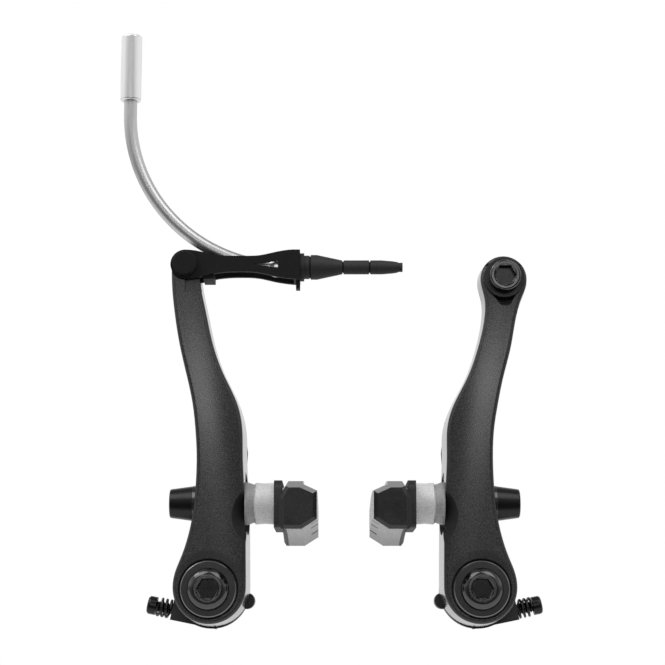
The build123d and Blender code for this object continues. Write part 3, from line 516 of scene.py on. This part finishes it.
# %% Pad rubber
PAD_DEPTH = 10.0 * MM
PAD_BLACK = grey(0.006)
PAD_HIGHLIGHT = grey(0.3)
BLOOM = 110.0

holder_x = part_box("right_brake_pad")[0].x + PAD_DEPTH
pad_rubber, net = new_finish("pad_rubber")
bloom = grain(net, BLOOM, detail=5.0)
skin = grain(net, EVEN_GRAIN, detail=4.0)
bevel = slanted(net)
holder = abs(place(net, "X")).ramp(holder_x - 0.2 * MM, holder_x)
# Up-facing bevels of the pad are lightened: a painted highlight.
bevel_highlight = bevel * facing(net, "Z").ramp(0.4, 0.6) * (1 - holder)
close_finish(net, {
    # The bloom is left off all bevels, which darkens them: a painted shade.
    "Base Color": tint(net, 0.15 * bloom * (1 - bevel) + 0.9 * bevel_highlight, PAD_BLACK, PAD_HIGHLIGHT),
    "Roughness": 0.24 + 0.3 * (skin - 0.5) + 0.4 * holder,
    "Normal": soft_edges(net, SOFT_EDGE, skin, 0.15),
})
print("pad rubber: holder starts at", round(holder_x / MM, 1), "mm")

# %% [markdown]
# ## Boot, spring cups and liner
# The boot is a soft matte rubber, and the spring cups are moulded plastic with a fine
# texture. The pipe's liner is slick white plastic that only shows at the mouth of the
# ferrule. All three came out of a mould, so one function gives the mottled base and the
# fine skin, and only colour and gloss differ.

# %% Moulded pieces
MOULD_GRAIN = 3000.0


def moulded(name, dark, light, roughness, relief):
    """Moulded rubber or plastic: a mottled base, matte, with a fine skin texture."""
    material, net = new_finish(name)
    skin = grain(net, MOULD_GRAIN)
    close_finish(net, {
        "Base Color": tint(net, grain(net, BLOOM, detail=5.0), dark, light),
        "Roughness": roughness + 0.15 * (skin - 0.5),
        "Normal": soft_edges(net, SOFT_EDGE, skin, relief),
    })
    return material


boot_rubber = moulded("boot_rubber", grey(0.01), grey(0.022), 0.6, 0.15)
cup_plastic = moulded("cup_plastic", grey(0.01), grey(0.02), 0.45, 0.1)
liner_plastic = moulded("liner_plastic", (0.7, 0.7, 0.68), (0.82, 0.82, 0.8), 0.35, 0.05)
print("moulded: 3 finishes")

# %% [markdown]
# ## Dressing the solids
# Every node has a plain name that ends in what it is, after its side. A material could be
# given to each of them by hand, but a short list from ending to finish dresses both sides
# at once, and no two endings fit the same name.

# %% Finishes by name
FINISHES = {
    "arm": flake_paint,
    "pivot_bush": plain_steel,
    "pivot_bolt": black_steel,
    "pivot_washer": edge_highlight_steel,
    "spring_cup": cup_plastic,
    "stopper_pin": plain_steel,
    "return_spring": spring_wire,
    "tension_spring": spring_wire,
    "tension_screw": nut_steel,
    "convex_washer": shaded_tumbled_grey,
    "concave_spacer": light_grey,
    "cup_washer": black_steel,
    "shoe_nut": nut_steel,
    "shoe_post": plain_steel,
    "brake_pad": pad_rubber,
    "anchor_washer": nut_steel,
    "anchor_bolt": black_steel,
    "link": link_steel,
    "link_pin": link_steel,
    "link_clip": nut_steel,
    "noodle_tube": drawn_steel,
    "noodle_liner": liner_plastic,
    "noodle_ferrule": turned_aluminium,
    "noodle_tip": turned_aluminium,
    "cable_boot": boot_rubber,
}

for name, node in nodes.items():
    finish = next(FINISHES[ending] for ending in FINISHES if name.endswith(ending))
    node.data.materials.clear()
    node.data.materials.append(finish)
print("dressed", len(nodes), "nodes with", len(set(FINISHES.values())), "finishes")

# %% [markdown]
# ## Tension screws: the thread's profile
# Each spring cup holds a small screw that sets the pull of its return spring. The solid
# has a plain shank as wide as the thread's root, and the ridge is added here. A helix
# drawn by formula would do, but a thread is cut by carrying a pointed tool round and
# along the shank, so the tool's triangle is drawn first, as a circle of three corners.
# Its point is turned outwards and stands at the crest.

# %% Thread profile
THREAD_CREST = 2.0 * MM
THREAD_RIDGE = 0.36 * MM


def turn_mesh(angle, axis):
    """Turns the selected mesh about the origin; the operator counts angles the other way."""
    bpy.ops.transform.rotate(value=-angle, orient_axis=axis, center_override=(0, 0, 0))


def extent(piece, axis):
    """Where a piece starts and ends along one axis, in millimetres."""
    along = [vertex.co["XYZ".index(axis)] / MM for vertex in piece.data.vertices]
    return round(min(along), 2), round(max(along), 2)


bpy.ops.object.select_all(action="DESELECT")
bpy.ops.mesh.primitive_circle_add(vertices=3, radius=THREAD_RIDGE, fill_type="NOTHING")
ridge = bpy.context.object
bpy.ops.object.mode_set(mode="EDIT")
bpy.ops.mesh.select_all(action="SELECT")
turn_mesh(-pi / 2, "Z")
turn_mesh(pi / 2, "X")
bpy.ops.transform.translate(value=(THREAD_CREST - THREAD_RIDGE, 0, 0))
bpy.ops.object.mode_set(mode="OBJECT")
print("profile from root to crest:", extent(ridge, "X"), "mm")

# %% [markdown]
# ## Tension screws: the ridge
# The Screw modifier carries the triangle round the Z axis and along it, which leaves a
# tube that is open at both ends. Filling the two ends closes it, and the normals are
# then made to point outwards.

# %% Thread ridge
THREAD_PITCH = 0.7 * MM
THREAD_TURNS = 7
THREAD_STEPS = 24

bpy.ops.object.modifier_add(type="SCREW")
screw = ridge.modifiers["Screw"]
screw.screw_offset = THREAD_PITCH
screw.iterations = THREAD_TURNS
screw.steps = THREAD_STEPS
bpy.ops.object.modifier_apply(modifier="Screw")
bpy.ops.object.mode_set(mode="EDIT")
bpy.ops.mesh.select_all(action="SELECT")
bpy.ops.mesh.fill_holes(sides=3)
bpy.ops.mesh.normals_make_consistent(inside=False)
bpy.ops.object.mode_set(mode="OBJECT")
bpy.ops.object.shade_smooth_by_angle(angle=radians(30))
ridge.data.materials.append(nut_steel)
print("ridge:", len(ridge.data.polygons), "faces, along Z", extent(ridge, "Z"), "mm")

# %% [markdown]
# ## Tension screws: one ridge on each
# Both screws are right-handed, so the second ridge is the first one copied and turned,
# never mirrored. Each screw's joint in the frame gives a place on its axis, and the foot
# of the ridge is a little way inboard of it. The meshes are turned and moved in edit mode,
# so that the objects stay at the origin, as the solids do.

# %% Threads on the screws
THREAD_FOOT = -6.4 * MM


def pick(piece):
    """Leaves one object selected and active."""
    bpy.ops.object.select_all(action="DESELECT")
    piece.select_set(True)
    bpy.context.view_layer.objects.active = piece


pick(ridge)
bpy.ops.object.duplicate(linked=False)
for piece, name in ((ridge, "left"), (bpy.context.object, "right")):
    pick(piece)
    piece.name = name + "_screw_thread"
    joint = joints[name + "_tension_turn"]
    axis = Vector(joint["axis"])
    bpy.ops.object.mode_set(mode="EDIT")
    bpy.ops.mesh.select_all(action="SELECT")
    turn_mesh(atan2(axis.x, axis.z), "Y")
    bpy.ops.transform.translate(value=Vector(joint["pos_m"]) + THREAD_FOOT * axis)
    bpy.ops.object.mode_set(mode="OBJECT")
    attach(piece, name + "_tension_screw")
    print(piece.name, "along X", extent(piece, "X"), "along Z", extent(piece, "Z"), "mm")

# %% [markdown]
# ## The paper floor
# A catalogue picture is taken on a white sweep of paper. The paper could be lit until it
# is white, but then the pale washers would burn out. It is a pale matte floor instead,
# and Light Path adds a glow that only the camera and mirrored or passing rays see. The
# share of matte paper that is left keeps the brake's shadow.

# %% Floor
FLOOR_HEIGHT = -0.12
FLOOR_SIZE = 6.0
FLOOR_BACK = 2.85
GLOW_SHARE = 0.75

bpy.ops.object.select_all(action="DESELECT")
bpy.ops.mesh.primitive_plane_add(size=FLOOR_SIZE, location=(0, FLOOR_BACK, FLOOR_HEIGHT))
floor = bpy.context.object
floor.name = "paper_floor"
paper, net = new_finish("white_paper")
by_camera = net.node("LightPath", output="Is Camera Ray")
by_mirror = net.node("LightPath", output="Is Glossy Ray")
by_glass = net.node("LightPath", output="Is Transmission Ray")
white = tint(net, grain(net, 40.0), grey(0.86), grey(0.9))
matte = net.node("BsdfDiffuse", inputs={"Color": white})
glow = net.node("Emission", inputs={"Color": (1, 1, 1, 1), "Strength": 1.0})
share = GLOW_SHARE * (by_camera + by_mirror + by_glass)
blend = net.node("MixShader", inputs={0: share, 1: matte, 2: glow})
net.node("OutputMaterial", inputs={"Surface": blend})
floor.data.materials.append(paper)
print("floor at", FLOOR_HEIGHT)

# %% [markdown]
# ## The white room
# The walls of the set are white behind the brake and darker in front, where the
# photographer stands, and overhead. Walls could be modelled, but the world can be shaded
# by direction. The bright back draws the light lines along the arms' side walls, and the
# dim front keeps the black paint black. Each fade runs between two directions, counted
# from -1 to 1 along its axis. The camera itself sees plain white.

# %% World
FRONT_LEVEL = 0.3
FRONT_FADE = (-0.95, -0.1)
LOW_LEVEL = 0.4
LOW_FADE = (0.05, 0.25)
TOP_LEVEL = 0.35
TOP_FADE = (0.3, 0.95)
BACK_FADE = (0.6, 0.9)

world = bpy.data.worlds.new("white_sweep")
bpy.context.scene.world = world
world.use_nodes = True
world.node_tree.nodes.clear()
net = Signal(world.node_tree)
look = net.node("TexCoord", output="Generated")
depth = net.node("SeparateXYZ", inputs={"Vector": look}, output="Y")
height = net.node("SeparateXYZ", inputs={"Vector": look}, output="Z")
sides = depth.ramp(*FRONT_FADE, FRONT_LEVEL, 1.0) * height.ramp(*LOW_FADE, LOW_LEVEL, 1.0)
back = depth.ramp(*BACK_FADE)
walls = net.math("MAXIMUM", sides, back) * height.ramp(*TOP_FADE, 1.0, TOP_LEVEL)
by_camera = net.node("LightPath", output="Is Camera Ray")
level = by_camera + (1 - by_camera) * walls
sky = net.node("Background", inputs={"Color": (1, 1, 1, 1), "Strength": level})
net.node("OutputWorld", inputs={"Surface": sky})
print("world: white behind, levels", FRONT_LEVEL, "in front,", LOW_LEVEL, "low,", TOP_LEVEL, "above")

# %% [markdown]
# ## The light panels
# Two large soft panels high at the left and right light the brake, the left one a little
# stronger. A small one in front lifts the middle of the arms, and another at the far left
# draws the edges. Spot lights would give hard glints on the bolts, so all four are soft
# rectangles.

# %% Panels
BRAKE_MIDDLE = Vector((0, 0, 0.08))


def panel(name, spot, wide, tall, watts):
    """A soft rectangular light, turned to face the brake and hidden from the camera."""
    light = bpy.data.lights.new(name, "AREA")
    light.shape = "RECTANGLE"
    light.size = wide
    light.size_y = tall
    light.energy = watts
    lamp = bpy.data.objects.new(name, light)
    bpy.context.scene.collection.objects.link(lamp)
    lamp.location = spot
    lamp.rotation_euler = (BRAKE_MIDDLE - Vector(spot)).to_track_quat("-Z", "Y").to_euler()
    lamp.visible_camera = False


panel("front_panel", (0, -1.5, 0.25), 0.5, 0.32, 1.4)
panel("key_panel", (-0.65, -0.8, 1.25), 1.0, 1.0, 7.4)
panel("fill_panel", (0.65, -0.8, 1.25), 1.0, 1.0, 6.2)
panel("edge_panel", (-1.0, -0.1, 1.15), 0.4, 0.4, 3.0)
print("panels:", [light.name for light in bpy.data.lights])
